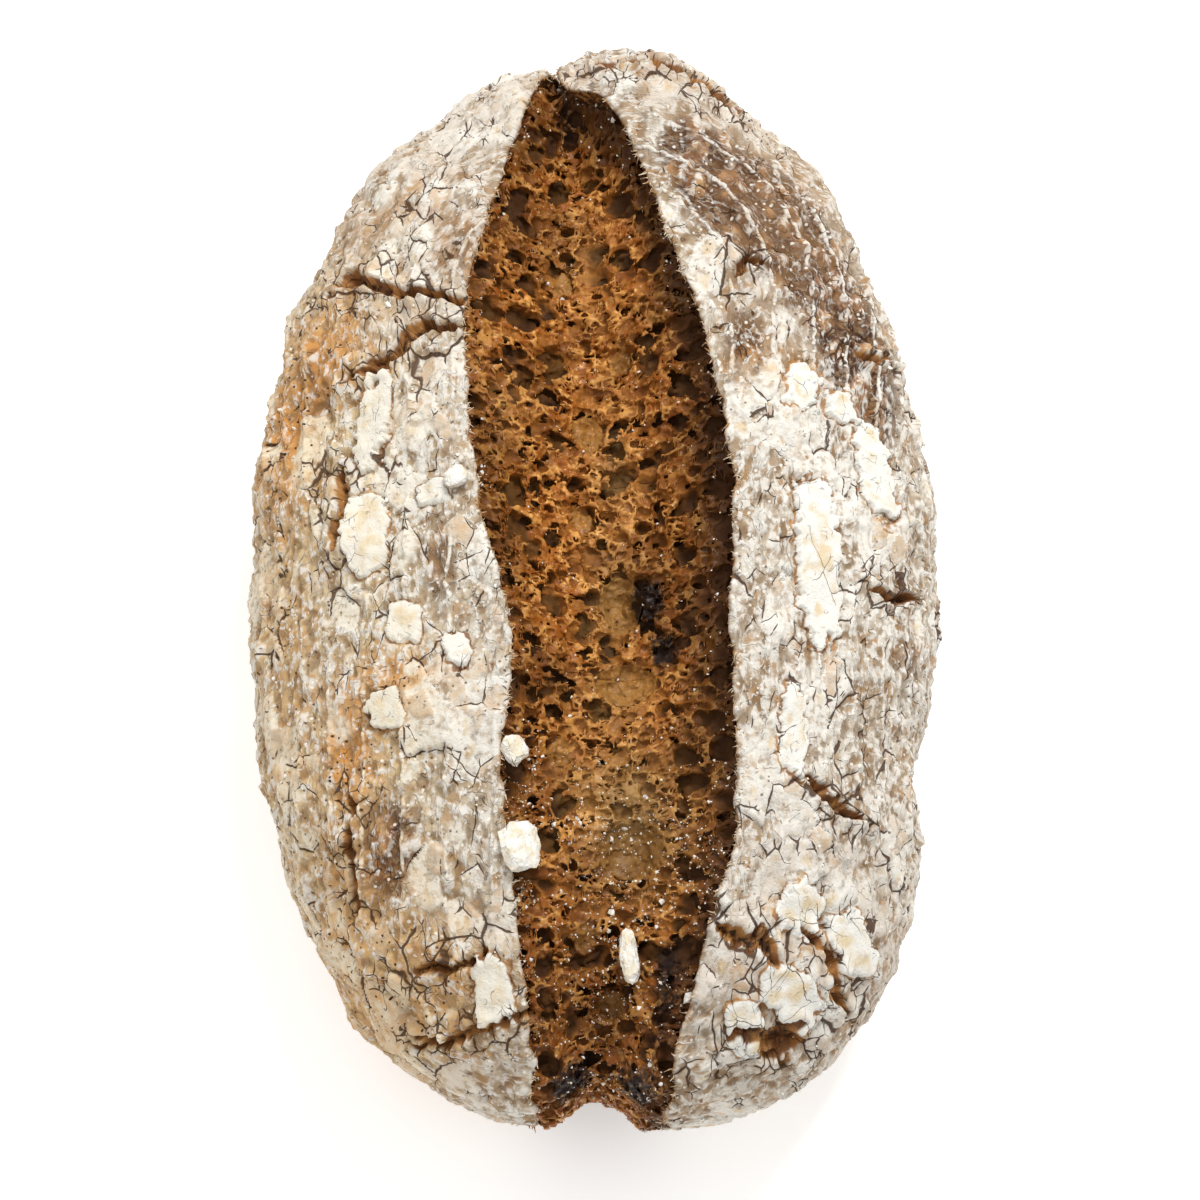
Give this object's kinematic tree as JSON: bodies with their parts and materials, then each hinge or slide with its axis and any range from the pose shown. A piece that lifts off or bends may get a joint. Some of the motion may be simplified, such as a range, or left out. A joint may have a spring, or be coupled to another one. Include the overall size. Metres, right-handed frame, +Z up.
{
  "type": "buckwheat bread loaf",
  "caption": "Whole oval loaf of dark buckwheat bread with a thick, floured, cracked crust, burst open along its length over torn open crumb; food prop that rests flat on its base",
  "frame": {"origin": "On the table under the middle of the loaf's outline", "axes": "+Z up, +Y along the loaf towards the end where the two crust flaps fold together, +X to the side whose lip stands higher"},
  "size_m": [0.1608, 0.2642, 0.0897],
  "materials": {
    "crust": "matte",
    "crumb": "matte",
    "flour": "matte"
  },
  "bodies": {
    "root": {"loaf": "crust", "flour_chip_large": "flour", "flour_chip_upper": "flour", "flour_chip_long": "flour", "flour_chip_crust": "flour"}
  },
  "joints": []
}
